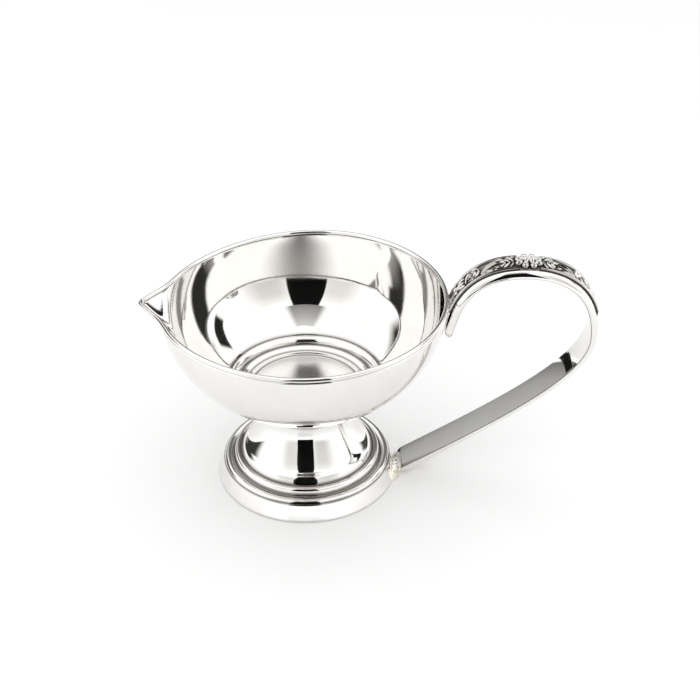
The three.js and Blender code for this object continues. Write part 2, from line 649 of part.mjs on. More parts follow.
addPiece('bowl', makeBowl(), SILVER, 0.08);
addPiece('rim_wire', makeRimWire(), SILVER, 0.1);
addPiece('neck_collar', makeCollar(), SILVER, 0.1);
addPiece('foot', makeFoot(), SILVER, 0.08);
addPiece('foot_band', makeBand(), SILVER, 0.1);
addPiece('foot_joint', makeFootJoint(), SOLDER, 0.3);
addPiece('handle_strap', makeStrap(), SILVER, 0.12);
addPiece('ornament_plate', makePlate(), ORNAMENT, 0.35);
addPiece('flower_rosette', makeFlower(), SILVER, 0.2);
for (const [where, side] of [['bowl_side', -1], ['bend_side', 1]]) {
  const room = (side < 0 ? ORNAMENT_BOWL_SIDE : ORNAMENT_BEND_SIDE) - LARGE_SCROLL_START;
  const wanted = LARGE_SCROLL_LENGTH + SMALL_SCROLL_LENGTH + END_LEAF_LENGTH + 2 * SCROLL_GAP;
  const k = Math.min(1, room / wanted);
  const large = LARGE_SCROLL_LENGTH * k;
  const small = SMALL_SCROLL_LENGTH * k;
  const gap = SCROLL_GAP * k;
  const smallStart = LARGE_SCROLL_START + large + gap;
  const leafStart = smallStart + small + gap;
  addPiece(`border_front_${where}`, makeBorder(-1, side), SILVER, 0.15);
  addPiece(`border_back_${where}`, makeBorder(1, side), SILVER, 0.15);
  addPiece(`scroll_large_${where}`, makeScroll(LARGE_SCROLL_START, large, side), SILVER, 0.2);
  addPiece(`scroll_small_${where}`, makeScroll(smallStart, small, side), SILVER, 0.2);
  const innerStart = LARGE_SCROLL_START + large * 0.55;
  const leafEnd = leafStart + END_LEAF_LENGTH * k;
  addPiece(`leaf_inner_${where}`, makeLeaf(innerStart, smallStart - gap, -0.85, -0.85, side), SILVER, 0.2);
  addPiece(`leaf_end_${where}`, makeLeaf(leafStart, leafEnd, 0.3, 0.3, side), SILVER, 0.2);
}

const outline = new THREE.Box3().setFromObject(group);
group.position.x = -(outline.min.x + outline.max.x) / 2;

export default group;
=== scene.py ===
# %% [markdown]
# # A footed silver oil lamp
# The solids of this lamp come from its measured model, and they are plain and faceted. Here each of
# them is made again as the polished piece that a silversmith would hand over: a spun bowl with a
# pulled spout, a turned foot, a bent strap with a chased ornament, and the solder that holds them.
# The frame is loaded first and is never moved.
# Lengths are in millimetres where no comment says otherwise.

# %% Load the frame
import math

import bmesh
import bpy
import numpy as np
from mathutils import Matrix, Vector


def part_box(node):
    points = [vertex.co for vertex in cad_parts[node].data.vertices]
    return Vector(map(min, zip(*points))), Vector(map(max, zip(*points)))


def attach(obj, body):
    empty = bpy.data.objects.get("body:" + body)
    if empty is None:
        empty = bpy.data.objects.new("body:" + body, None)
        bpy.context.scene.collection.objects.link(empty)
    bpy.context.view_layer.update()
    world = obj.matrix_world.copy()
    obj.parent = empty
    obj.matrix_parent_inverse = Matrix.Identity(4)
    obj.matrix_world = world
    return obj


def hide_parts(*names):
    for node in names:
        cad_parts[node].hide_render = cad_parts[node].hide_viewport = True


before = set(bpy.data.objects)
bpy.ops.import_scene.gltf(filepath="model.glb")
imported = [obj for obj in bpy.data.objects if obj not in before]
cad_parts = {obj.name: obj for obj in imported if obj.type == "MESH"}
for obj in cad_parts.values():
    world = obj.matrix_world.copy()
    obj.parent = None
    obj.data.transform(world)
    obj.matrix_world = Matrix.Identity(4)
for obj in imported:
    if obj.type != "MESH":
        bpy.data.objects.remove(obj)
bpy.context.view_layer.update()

MM = 0.001
axis_x = sum(corner.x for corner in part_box("foot_band")) / 2 / MM
print("the foot's axis stands at x =", round(axis_x, 2), "mm")

# %% [markdown]
# ## Camera
# The photograph looks down on the lamp by a little more than a third of a right angle, from the side,
# with the spout to the left. A long lens keeps the bowl's rim a calm ellipse. The lens comes from a fit
# to the rim and the foot, so its numbers are written as they were found: angle, distance and aim.

# %% Camera
LOOK_DOWN = math.radians(33.5)
CAMERA_AWAY = 0.325  # metres
AIM_RIGHT, AIM_UP = 11.2, 36.3  # from the foot's axis, and from the floor
FOCAL_PIXELS, PICTURE_PIXELS = 1314, 700
SENSOR = 36
aim = Vector((axis_x + AIM_RIGHT, 0, AIM_UP)) * MM
back = Vector((0, -math.cos(LOOK_DOWN), math.sin(LOOK_DOWN)))
bpy.ops.object.camera_add(location=aim + back * CAMERA_AWAY, rotation=(math.pi / 2 - LOOK_DOWN, 0, 0))
camera = bpy.context.object
camera.data.sensor_width = SENSOR
camera.data.lens = SENSOR * FOCAL_PIXELS / PICTURE_PIXELS
camera.data.clip_start = 0.01
bpy.context.scene.camera = camera
print("camera at", [round(x / MM) for x in camera.location], "mm, lens", round(camera.data.lens, 1))

# %% [markdown]
# ## Studio
# Polished silver has almost no colour of its own: what shows is the room. The room here is a white
# tent, so that the floor is white and the shadows are soft. Two small helpers add nodes. With them the
# sky is made a little brighter for mirror rays than for the floor, and brighter again where metal
# mirrors metal, because each reflection swallows some light and the inside of the bowl has to stay pale.


# %% Nodes
def node(tree, kind, **values):
    """A new node. A value goes to the socket of that name, or else to the node's own setting."""
    made = tree.nodes.new(kind)
    for key, value in values.items():
        if key in made.inputs:
            made.inputs[key].default_value = value
        else:
            setattr(made, key, value)
    return made


def reckon(tree, operation, *values):
    """The output of a maths node. Each value is a number or the output of another node."""
    made = node(tree, "ShaderNodeMath", operation=operation)
    for socket, value in zip(made.inputs, values):
        if isinstance(value, bpy.types.NodeSocket):
            tree.links.new(value, socket)
        else:
            socket.default_value = value
    return made.outputs["Value"]


# %% Sky
SKY, MORE_IN_METAL, MORE_IN_LATER_METAL = 1.14, 0.14, 0.22
MORE_THAN_ONE = 1.5  # between one reflection and two
bpy.context.scene.view_settings.view_transform = "Standard"
world = bpy.data.worlds.new("white_tent")
bpy.context.scene.world = world
world.use_nodes = True
tent = world.node_tree
sky = tent.nodes["Background"]
sky.inputs["Color"].default_value = (1, 1, 1, 1)
ray = node(tent, "ShaderNodeLightPath")
level = reckon(tent, "MULTIPLY_ADD", ray.outputs["Is Glossy Ray"], MORE_IN_METAL, SKY)
again = reckon(tent, "GREATER_THAN", ray.outputs["Glossy Depth"], MORE_THAN_ONE)
level = reckon(tent, "MULTIPLY_ADD", again, MORE_IN_LATER_METAL, level)
tent.links.new(level, sky.inputs["Strength"])
print("sky:", SKY, "and at most", round(SKY + MORE_IN_METAL + MORE_IN_LATER_METAL, 2), "in the metal")


# %% Floor
FLOOR_SIZE = 8  # metres
FLOOR_WHITE = 0.97


def new_piece(name, add, **how):
    """A fresh primitive with a name, selected alone."""
    bpy.ops.object.select_all(action="DESELECT")
    add(**how)
    piece = bpy.context.object
    piece.name = piece.data.name = name
    return piece


floor = new_piece("studio_floor", bpy.ops.mesh.primitive_plane_add, size=FLOOR_SIZE)
paper = bpy.data.materials.new("white_paper")
paper.use_nodes = True
sheet = paper.node_tree.nodes["Principled BSDF"]
sheet.inputs["Base Color"].default_value = (FLOOR_WHITE, FLOOR_WHITE, FLOOR_WHITE, 1)
sheet.inputs["Roughness"].default_value = 0.18
sheet.inputs["Specular IOR Level"].default_value = 0.15
floor.data.materials.append(paper)
print("floor", floor.dimensions[:2], "metres")

# %% [markdown]
# ## Cards
# Dark and grey cards stand round the lamp and draw the bars that give the metal its form. Only mirror
# reflections see them, so they throw no shadow and don't tint the floor. Each is also kept to certain
# reflections, counted from the eye: a bar that is right on the outside of the foot would otherwise turn
# up again, in the wrong place, where one side of the bowl mirrors the other.

# %% How a card is made
FIRST, SECOND, THIRD, LATER = (1, 1), (2, 2), (3, 9), (2, 9)  # the first and last reflection it is in
FAR, NEAR = 3.0, 0.2  # metres
WARM = 0.97  # the blue in each grey
lamp_middle = Vector((axis_x, 0, 30)) * MM
handle_bend = Vector((axis_x + 66, 0, 38)) * MM


def bent_card(name, azimuth, elevation, lean, middle, distance):
    card = new_piece(name, bpy.ops.mesh.primitive_grid_add, x_subdivisions=24, y_subdivisions=24, size=1)
    for v in card.data.vertices:
        right, up = v.co.x + 0.5, v.co.y + 0.5
        a = math.radians(azimuth[0] + (azimuth[1] - azimuth[0]) * right)
        e = math.radians(elevation[0] + (elevation[1] - elevation[0]) * up + lean * right)
        way = Vector((math.sin(a) * math.cos(e), -math.cos(a) * math.cos(e), math.sin(e)))
        v.co = middle + way * distance
    card.visible_camera = card.visible_diffuse = card.visible_shadow = False
    card.visible_transmission = card.visible_volume_scatter = False
    return card


def card_paint(name, shades, soft, seen):
    """Grey light by height, from pairs of height share and grey. The upright edges fade out over a
    soft share of the width, and reflections outside those in seen look through the card."""
    paint = bpy.data.materials.new(name)
    paint.use_nodes = True
    tree = paint.node_tree
    link = tree.links.new
    tree.nodes.clear()
    place = node(tree, "ShaderNodeUVMap")
    parts = node(tree, "ShaderNodeSeparateXYZ")
    link(place.outputs["UV"], parts.inputs["Vector"])
    grey = node(tree, "ShaderNodeValToRGB")
    while len(grey.color_ramp.elements) < len(shades):
        grey.color_ramp.elements.new(0.5)
    for stop, (height, shade) in zip(grey.color_ramp.elements, shades):
        stop.position = height
        stop.color = (shade, shade, shade * WARM, 1)
    link(parts.outputs["Y"], grey.inputs["Fac"])
    edge = node(tree, "ShaderNodeValToRGB")
    edge.color_ramp.interpolation = "EASE"
    for inner_end in (soft, 1 - soft):
        edge.color_ramp.elements.new(inner_end).color = (1, 1, 1, 1)
    for end in (0, -1):
        edge.color_ramp.elements[end].color = (0, 0, 0, 1)
    link(parts.outputs["X"], edge.inputs["Fac"])
    path = node(tree, "ShaderNodeLightPath")
    middle, reach = (seen[0] + seen[1]) / 2, (seen[1] - seen[0]) / 2 + 0.5
    show = reckon(tree, "COMPARE", path.outputs["Ray Depth"], middle, reach)
    show = reckon(tree, "MULTIPLY", show, edge.outputs["Color"])
    glow = node(tree, "ShaderNodeEmission")
    link(grey.outputs["Color"], glow.inputs["Color"])
    clear = node(tree, "ShaderNodeBsdfTransparent")
    mix = node(tree, "ShaderNodeMixShader")
    link(show, mix.inputs["Fac"])
    link(clear.outputs["BSDF"], mix.inputs[1])
    link(glow.outputs["Emission"], mix.inputs[2])
    out = node(tree, "ShaderNodeOutputMaterial")
    link(mix.outputs["Shader"], out.inputs["Surface"])
    return paint


def stand_card(name, azimuth, elevation, seen, soft, shades, lean=0, middle=lamp_middle, distance=FAR):
    """A bent card between two azimuths and two elevations, in degrees, as seen from a middle. Azimuth 0
    is the camera's side and 90 the right. The right end stands higher by the lean."""
    card = bent_card(name, azimuth, elevation, lean, middle, distance)
    card.data.materials.append(card_paint(name, shades, soft, seen))
    return card


# %% Cards for the first reflection
# The front cards make the black bar, the halos its grey surround, and the two strap cards the grey face
# of the handle with its black patch. The others darken the sides and the back of the bowl.
cards = [
    stand_card("card_front", (-20, 18), (2.5, 59), FIRST, 0.02, ((0, 0.004), (1, 0.008))),
    stand_card("card_front_low", (-20, 18), (-5.5, 4), FIRST, 0.02, ((0, 0.004), (1, 0.004)), distance=NEAR),
    stand_card("card_above_front", (-36, 34), (59, 78), FIRST, 0.2, ((0, 0.28), (0.5, 0.5), (1, 0.8))),
    stand_card("card_dark_left", (-152, -98), (2, 32), FIRST, 0.3, ((0, 0.05), (0.8, 0.04), (1, 1.2))),
    stand_card("card_dark_right", (120, 158), (7, 28), FIRST, 0.3, ((0, 0.06), (0.85, 0.08), (1, 1.2))),
    stand_card("card_leaning", (95, 126), (20.5, 30), FIRST, 0.15, ((0, 0.02), (1, 0.02)), lean=12),
    stand_card("card_halo_left", (-60, -4), (-3, 50), FIRST, 0.42,
               ((0, 1.28), (0.16, 0.86), (0.7, 0.92), (1, 1.15)), distance=3.3),
    stand_card("card_halo_right", (4, 68), (-3, 50), FIRST, 0.42,
               ((0, 1.28), (0.16, 0.74), (0.7, 0.85), (1, 1.15)), distance=3.3),
    stand_card("card_behind", (135, 212), (4, 42), FIRST, 0.3,
               ((0, 0.25), (0.3, 0.16), (1, 0.2)), distance=3.4),
    stand_card("card_strap", (-166, -131), (-1, 26), FIRST, 0.12,
               ((0, 0.2), (0.3, 0.43), (1, 0.62)), lean=7, middle=handle_bend, distance=0.8),
    stand_card("card_strip", (-157, -135), (-7, -2.5), FIRST, 0.08,
               ((0, 0.01), (1, 0.01)), lean=13, middle=handle_bend, distance=0.6),
]
print("first reflection:", [card.name for card in cards])

# %% Cards for later reflections
# They stand for the same dark front, and for the dim back of the room, where metal mirrors metal.
later_cards = [
    stand_card("card_neck", (-20, 18), (-4, 15), SECOND, 0.02, ((0, 0.004), (1, 0.01)), distance=NEAR),
    stand_card("card_front_twice", (-9, 35), (20, 32.5), SECOND, 0.17, ((0, 0.02), (1, 0.04))),
    stand_card("card_front_thrice", (-16, 30), (20, 34), THIRD, 0.3, ((0, 0.4), (1, 0.4))),
    stand_card("card_front_high", (-12, 30), (32.5, 40), SECOND, 0.25, ((0, 0.06), (1, 0.5))),
    stand_card("card_over_disc", (-30, 26), (46, 76), LATER, 0.3,
               ((0, 0.3), (0.3, 0.02), (0.8, 0.05), (1, 0.8))),
    stand_card("card_back", (114, 258), (0, 85), LATER, 0.5,
               ((0, 0.55), (0.35, 0.45), (0.65, 0.32), (1, 0.3))),
]
print("later reflections:", [card.name for card in later_cards])

# %% [markdown]
# ## Silver
# All the pieces share one metal, polished by hand with a soft wheel. Under a lens such a surface has
# faint hairlines and a thin, uneven haze. Both are made once, as a group of nodes that puts out masks,
# and each material uses them with its own strength. The points of a piece can carry two marks that the
# material reads: one turns the colour brown as painted shade, with some grime, in grooves, joints and
# hollows, and worn, where use has taken the gloss.


# %% The marks of hand polishing
def make_polish_group():
    group = bpy.data.node_groups.new("hand_polish", "ShaderNodeTree")
    for name in ("Haze Size", "Line Size"):
        group.interface.new_socket(name, in_out="INPUT", socket_type="NodeSocketFloat")
    for name in ("Haze", "Lines"):
        group.interface.new_socket(name, in_out="OUTPUT", socket_type="NodeSocketFloat")
    link = group.links.new
    start = node(group, "NodeGroupInput")
    end = node(group, "NodeGroupOutput")
    place = node(group, "ShaderNodeTexCoord")
    haze = node(group, "ShaderNodeTexNoise", Detail=5.0, Roughness=0.6)
    link(place.outputs["Object"], haze.inputs["Vector"])
    link(start.outputs["Haze Size"], haze.inputs["Scale"])
    link(haze.outputs["Fac"], end.inputs["Haze"])
    stretch = node(group, "ShaderNodeMapping", Scale=(1.0, 0.05, 0.35), Rotation=(0.3, 0.5, 0.7))
    lines = node(group, "ShaderNodeTexNoise", Detail=3.0, Roughness=0.7)
    link(place.outputs["Object"], stretch.inputs["Vector"])
    link(stretch.outputs["Vector"], lines.inputs["Vector"])
    link(start.outputs["Line Size"], lines.inputs["Scale"])
    link(lines.outputs["Fac"], end.inputs["Lines"])
    return group


polish_group = make_polish_group()
print("polish marks:", [socket.name for socket in polish_group.interface.items_tree])

# %% The metals
HAZE_SIZE, LINE_SIZE = 90, 2500  # noise scales, the larger the finer
LINE_HEIGHT = 0.00002  # metres
TONE_STOPS, GLOSS_STOPS = (0.38, 0.72), (0.35, 0.75)  # where the haze begins, and where it is full
WORN_ROUGHNESS = 0.16
# The brown of the painted shade, with some grime, in grooves, joints and hollows.
BROWN_SHADE_GRIME = (0.1, 0.085, 0.07)


def make_silver(name, bright, dull, smooth, rough, line_depth, shade_grime_colour=BROWN_SHADE_GRIME):
    """Polished metal between two tones and two roughnesses, with hairlines of a depth, and a brown painted
    shade, with some grime, where its points are marked.
    """
    metal = bpy.data.materials.new(name)
    metal.use_nodes = True
    tree = metal.node_tree
    link = tree.links.new
    shader = tree.nodes["Principled BSDF"]
    shader.inputs["Metallic"].default_value = 1.0
    marks = node(tree, "ShaderNodeGroup", node_tree=polish_group)
    marks.inputs["Haze Size"].default_value = HAZE_SIZE
    marks.inputs["Line Size"].default_value = LINE_SIZE
    tone = node(tree, "ShaderNodeValToRGB")
    for stop, position, colour in zip(tone.color_ramp.elements, TONE_STOPS, (bright, dull)):
        stop.position = position
        stop.color = (*colour, 1)
    link(marks.outputs["Haze"], tone.inputs["Fac"])
    # The mark turns the tone brown: painted shade, with some grime, in grooves, joints and hollows.
    shade_grime_node = node(tree, "ShaderNodeAttribute", attribute_name="shade_grime_mark")
    shaded_tone = node(tree, "ShaderNodeMix", data_type="RGBA")
    shaded_tone.inputs["B"].default_value = (*shade_grime_colour, 1)
    link(shade_grime_node.outputs["Fac"], shaded_tone.inputs["Factor"])
    link(tone.outputs["Color"], shaded_tone.inputs["A"])
    link(shaded_tone.outputs["Result"], shader.inputs["Base Color"])
    gloss = node(tree, "ShaderNodeMapRange")
    for key, value in zip(("From Min", "From Max", "To Min", "To Max"), (*GLOSS_STOPS, smooth, rough)):
        gloss.inputs[key].default_value = value
    link(marks.outputs["Haze"], gloss.inputs["Value"])
    worn = node(tree, "ShaderNodeAttribute", attribute_name="worn")
    rubbed = reckon(tree, "MULTIPLY_ADD", worn.outputs["Fac"], WORN_ROUGHNESS, gloss.outputs["Result"])
    link(rubbed, shader.inputs["Roughness"])
    bump = node(tree, "ShaderNodeBump", Strength=line_depth, Distance=LINE_HEIGHT)
    link(marks.outputs["Lines"], bump.inputs["Height"])
    link(bump.outputs["Normal"], shader.inputs["Normal"])
    return metal


silver = make_silver("polished_silver", (0.84, 0.83, 0.815), (0.80, 0.785, 0.765), 0.03, 0.07, 0.05)
relief_silver = make_silver(
    "relief_silver", (0.86, 0.85, 0.83), (0.78, 0.76, 0.72), 0.10, 0.2, 0.1, shade_grime_colour=(0.04, 0.035, 0.03))
dark_silver = make_silver(
    "oxidised_silver", (0.36, 0.345, 0.325), (0.28, 0.27, 0.25), 0.25, 0.4, 0.2, shade_grime_colour=(0.03, 0.027, 0.024))
solder = make_silver("silver_solder", (0.9, 0.87, 0.81), (0.8, 0.75, 0.66), 0.12, 0.25, 0.2)
print("metals:", [m.name for m in (silver, relief_silver, dark_silver, solder)])

# %% [markdown]
# ## Turning on a lathe
# The bowl, wire, collar, foot and band are all round. A spinner or turner makes such work from its
# half section, and so do these helpers: a section is put together from curves, one point is extruded
# along it, and the line is then spun about the lamp's axis. Doubles are merged where the spin closes,
# and the faces are turned out.


# %% Curves for the sections
def bend(a, b, c, d, count):
    """Points on a curve from a to d that leaves towards b and arrives from c."""
    t = np.linspace(0, 1, count + 1)[:, None]
    a, b, c, d = (np.array(p, float) for p in (a, b, c, d))
    return (1 - t) ** 3 * a + 3 * (1 - t) ** 2 * t * b + 3 * (1 - t) * t**2 * c + t**3 * d


def swing(a, b, c, count):
    """Points on a simple bend from a to c, round the corner b."""
    a, b, c = (np.array(p, float) for p in (a, b, c))
    return bend(a, a + (b - a) * 2 / 3, c + (b - c) * 2 / 3, c, count)


def run(*parts):
    """One section from several parts, without the points that they share."""
    points = [np.array(parts[0][0], float)]
    for part in parts:
        for p in part:
            if np.linalg.norm(np.array(p) - points[-1]) > 1e-4:
                points.append(np.array(p, float))
    return points


# %% The lathe
def turn_faces_out(merge=None):
    """Ends the work on the piece in hand: doubles closer than merge, in metres, become one point."""
    bpy.ops.mesh.select_all(action="SELECT")
    if merge:
        bpy.ops.mesh.remove_doubles(threshold=merge)
    bpy.ops.mesh.normals_make_consistent(inside=False)
    bpy.ops.object.mode_set(mode="OBJECT")


def smooth_up_to(degrees):
    bpy.ops.object.shade_smooth_by_angle(angle=math.radians(degrees))


def turn(name, section, steps=192, sharp=40):
    """A round piece from its half section, as radius and height, smooth up to a sharp edge's angle."""
    piece = new_piece(name, bpy.ops.mesh.primitive_plane_add, size=MM)
    bpy.ops.object.mode_set(mode="EDIT")
    bpy.ops.mesh.select_all(action="SELECT")
    bpy.ops.mesh.merge(type="CENTER")
    bpy.ops.transform.translate(value=Vector((axis_x + section[0][0], 0, section[0][1])) * MM)
    for a, b in zip(section, section[1:]):
        step = Vector((b[0] - a[0], 0, b[1] - a[1])) * MM
        bpy.ops.mesh.extrude_vertices_move(TRANSFORM_OT_translate={"value": step})
    bpy.ops.mesh.select_all(action="SELECT")
    bpy.ops.mesh.spin(steps=steps, angle=math.tau, center=(axis_x * MM, 0, 0), axis=(0, 0, 1))
    turn_faces_out(merge=1e-6)
    smooth_up_to(sharp)
    return piece


# %% Points and marks
def points_of(piece):
    co = np.empty(len(piece.data.vertices) * 3)
    piece.data.vertices.foreach_get("co", co)
    return co.reshape(-1, 3) / MM


def put_points(piece, points):
    piece.data.vertices.foreach_set("co", (points * MM).ravel())
    piece.data.update()


def write_mark(piece, name, values):
    mark = piece.data.attributes.new(name, "FLOAT", "POINT")
    mark.data.foreach_set("value", values)


def shade_dirty_grooves(piece, *grooves):
    """Painted shade, with some grime, in the grooves and joints of a turned piece. Each groove is radius,
    height, reach and strength.
    """
    p = points_of(piece)
    r = np.hypot(p[:, 0] - axis_x, p[:, 1])
    dark = np.zeros(len(p))
    for radius, height, reach, strength in grooves:
        off = np.hypot(r - radius, p[:, 2] - height)
        dark = np.maximum(dark, strength * np.exp(-((off / reach) ** 2)))
    write_mark(piece, "shade_grime_mark", dark)


def finish_piece(piece, metal, slot, *nodes):
    """Gives a piece its metal and lets it take the place of the frame's nodes."""
    piece.data.materials.clear()
    piece.data.materials.append(metal)
    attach(piece, "root")
    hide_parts(*nodes)
    faces = len(piece.data.polygons)
    print(f"{piece.name}: {faces} faces, {[round(x / MM, 1) for x in piece.dimensions]} mm")


# %% [markdown]
# ## Bowl
# The bowl is spun from thin sheet. Its wall rises from a flat seat, swells, and ends almost upright.
# Inside there is a raised ring, a step, and a slightly domed disc. After spinning, the smith pulls a
# V-shaped spout out of the wall with a hammer, which also draws the sides in a little, and the rim
# leans down towards the spout. The bowl is turned first, and its points are then moved by that rule,
# because a brush with a round falloff would not give the spout its straight flanks.

# %% The spun bowl
RIM_R, SHEET_TOP, SEAT_Z, SHEET = 35.0, 50.47, 24.4, 0.8
INNER_WALL_FROM = 19.9  # radius where the inner wall meets the floor's ring
wall = bend((12, SEAT_Z), (22.6, 26.4), (34.0, 36.67), (RIM_R, SHEET_TOP), 64)
along_wall = np.gradient(wall, axis=0)
along_wall /= np.linalg.norm(along_wall, axis=1)[:, None]
inner_wall = wall + SHEET * np.stack([-along_wall[:, 1], along_wall[:, 0]], 1)
inner_wall[:, 1] = np.minimum(inner_wall[:, 1], SHEET_TOP)
inner_wall = inner_wall[inner_wall[:, 0] > INNER_WALL_FROM][::-1]
wall_end = inner_wall[-1]
onward = wall_end + (wall_end - inner_wall[-3]) * 0.4
bowl_floor = run(
    bend(wall_end, onward, (19.55, 27.9), (19.4, 27.95), 6),
    bend((19.4, 27.95), (19.2, 28.7), (17.6, 28.5), (17.1, 27.2), 14),
    swing((17.1, 27.2), (17.0, 26.85), (16.6, 26.75), 5),
    swing((16.6, 26.75), (15.7, 26.6), (15.3, 26.3), 8),
    swing((15.3, 26.3), (14.9, 26.0), (14.2, 25.95), 6),
    swing((14.2, 25.95), (13.7, 25.9), (13.6, 25.75), 5),
    swing((13.6, 25.75), (13.5, 25.95), (13.1, 26.0), 5),
    bend((13.1, 26.0), (9.0, 26.25), (5.0, 26.4), (0, 26.4), 16),
)
bowl = turn("lamp_bowl", run([(0, SEAT_Z), (11.5, SEAT_Z)], wall, inner_wall, bowl_floor), steps=320)
print("bowl turned:", len(bowl.data.vertices), "points")

# %% The pulled spout and the leaning rim
SPOUT_OUT, SPOUT_DEPTH, SPOUT_HALF_ANGLE = 5.0, 7.0, math.radians(53)
SOFT_TIP = math.radians(1.2)
WAIST_DEPTH, WAIST_END = 1.1, math.radians(110)  # the drawn-in sides end at this angle from the tip
MELT = 1.5  # over this length the flank runs into the round wall
RIM_LEAN = 0.8 / RIM_R
MOVED_FROM = 19.5  # radius outside which the hammer moves the wall


def spout_reach(off_tip, reach):
    turned = np.hypot(off_tip, SOFT_TIP) - SOFT_TIP
    flank = reach * math.sin(SPOUT_HALF_ANGLE) / np.sin(SPOUT_HALF_ANGLE + turned)
    return np.where(off_tip < math.pi / 2 - SPOUT_HALF_ANGLE, flank, 0)


def wall_shape(radius, height, direction, waist_depth):
    """Radius of the finished wall where the spun wall has a radius, at a height and in a direction."""
    off_tip = np.abs(np.mod(direction, math.tau) - math.pi)
    lift = np.clip((height - SEAT_Z) / (SHEET_TOP - SEAT_Z), 0, 1.05) ** 3
    drawn_in = np.sin(math.pi * off_tip / WAIST_END) ** 2
    waist = waist_depth * np.where(off_tip < WAIST_END, drawn_in, 0)
    round_wall = radius - waist * lift
    flank = spout_reach(off_tip, radius + SPOUT_OUT * (1 - (SHEET_TOP - height) / SPOUT_DEPTH))
    blend = np.maximum(MELT - np.abs(round_wall - flank), 0) / MELT
    return np.maximum(round_wall, flank) + blend**2 * MELT / 4, lift


def pull_spout(piece, waist_depth=WAIST_DEPTH):
    p = points_of(piece)
    x, y, z = p[:, 0] - axis_x, p[:, 1], p[:, 2]
    r, direction = np.hypot(x, y), np.arctan2(y, x)
    spun = np.interp(z, wall[:, 1], wall[:, 0])
    shaped, lift = wall_shape(spun, np.minimum(z, SHEET_TOP), direction, waist_depth)
    on_wall = r > MOVED_FROM
    r = np.where(on_wall, r + shaped - spun, r)
    x, y = r * np.cos(direction), r * np.sin(direction)
    z = np.where(on_wall, z + RIM_LEAN * x * lift, z)
    put_points(piece, np.stack([x + axis_x, y, z], 1))


# %% [markdown]
# The last hammer work is planishing: light, even blows that leave a smooth mirror on the inside. The
# mirror there is that of the spun wall, without the drawn-in sides, and a little steeper at the back.
# Only the normals say so, and the shape stays. Painted shade, with some grime, darkens the grooves of the
# floor and the seat on the collar, and the disc in the middle has lost some gloss, because it is wiped most.

# %% The planished inner wall
STEEPER_AT = (29.5, 33.3, 36, 38.5, 41, 44, 47, 50)
STEEPER_BY = (0, -1.5, 5, 10, 7.5, 4, 1, 0)  # degrees at those heights, full at the back
DISC_R, DISC_ABOVE = 13.4, 25


def normals_of(piece):
    normals = np.empty(len(piece.data.vertices) * 3)
    piece.data.vertices.foreach_get("normal", normals)
    return normals.reshape(-1, 3)


def planish(piece):
    """Pulls the spout, and then gives the inner wall the mirror of the spun one."""
    spun = points_of(piece)
    pull_spout(piece, 0)
    plain = normals_of(piece)
    put_points(piece, spun)
    pull_spout(piece)
    p, normals = points_of(piece), normals_of(piece)
    x, y, z = p[:, 0] - axis_x, p[:, 1], p[:, 2]
    r = np.maximum(np.hypot(x, y), 1e-6)
    inside = (normals[:, 0] * x + normals[:, 1] * y < 0) & (r > INNER_WALL_FROM)
    steeper = np.radians(np.interp(z, STEEPER_AT, STEEPER_BY)) * np.clip(y / r, 0, 1) ** 2
    tilt = np.arcsin(np.clip(plain[:, 2], -1, 1)) - steeper
    level = plain[:, :2] / np.maximum(np.linalg.norm(plain[:, :2], axis=1), 1e-9)[:, None]
    eased = np.column_stack([level * np.cos(tilt)[:, None], np.sin(tilt)])
    piece.data.normals_split_custom_set_from_vertices(np.where(inside[:, None], eased, normals))


# Painted shade, with some grime, in the grooves of the inner floor, and painted shade at the seat on the
# collar.
shade_dirty_grooves(
    bowl, (19.6, 27.95, 0.5, 0.97), (16.9, 26.9, 0.42, 0.95), (15.1, 26.15, 0.3, 0.8),
    (13.6, 25.75, 0.3, 0.95), (12.2, 24.4, 1.2, 0.85))
flat = points_of(bowl)
on_disc = (flat[:, 2] > DISC_ABOVE) & (np.hypot(flat[:, 0] - axis_x, flat[:, 1]) < DISC_R)
write_mark(bowl, "worn", on_disc.astype(float))
planish(bowl)
finish_piece(bowl, silver, "polished_silver", "bowl")

# %% [markdown]
# ## Rim wire
# A half-round wire is soldered on the cut edge of the sheet. It stiffens the bowl and gives the hand a
# smooth edge. It is turned as a ring and follows the bowl's outline by the same rule as the wall.
# Painted shade, with some grime, darkens the seam below it.

# %% The wire on the edge
WIRE_R, WIRE_IN, WIRE_Z = 0.62, 0.53, 50.78
SEAM_Z, SEAM_REACH, SEAM_SHADE_GRIME = 50.48, 0.13, 0.9
round_by = np.linspace(-0.5, math.pi + 0.5, 21)
wire = np.stack([RIM_R - WIRE_IN + WIRE_R * np.cos(round_by), WIRE_Z + WIRE_R * np.sin(round_by)], 1)
rim = turn("lamp_rim", run(wire, [wire[0]]), steps=320, sharp=60)
off_seam = points_of(rim)[:, 2] - SEAM_Z
# Painted shade, with some grime, along the seam under the wire.
write_mark(rim, "shade_grime_mark", SEAM_SHADE_GRIME * np.exp(-((off_seam / SEAM_REACH) ** 2)))
pull_spout(rim)
finish_piece(rim, silver, "polished_silver", "rim_wire")

# %% [markdown]
# ## Collar, foot and base band
# Below the bowl sit three turned pieces: a short moulded collar, the trumpet-shaped foot with a round
# shoulder, a bead and a flat flange, and the plain band that flares out to the table. Their curves
# meet without a kink where the metal is meant to flow, because a mirror shows every break.

# %% The collar
collar = turn("lamp_collar", run(
    [(0, 19.7), (10.1, 19.7)],
    swing((10.1, 19.7), (10.9, 20.1), (10.6, 21.1), 8),
    swing((10.6, 21.1), (10.3, 21.3), (10.4, 21.5), 4),
    swing((10.4, 21.5), (12.3, 21.7), (12.0, 24.37), 10),
    [(12.0, 24.37), (0, 24.37)],
))
# Painted shade in the collar's step and where it meets the bowl and the foot.
shade_dirty_grooves(collar, (10.4, 21.3, 0.5, 0.95), (12.0, 24.3, 0.8, 0.9), (10.1, 19.7, 0.4, 0.9))
finish_piece(collar, silver, "polished_silver", "neck_collar")

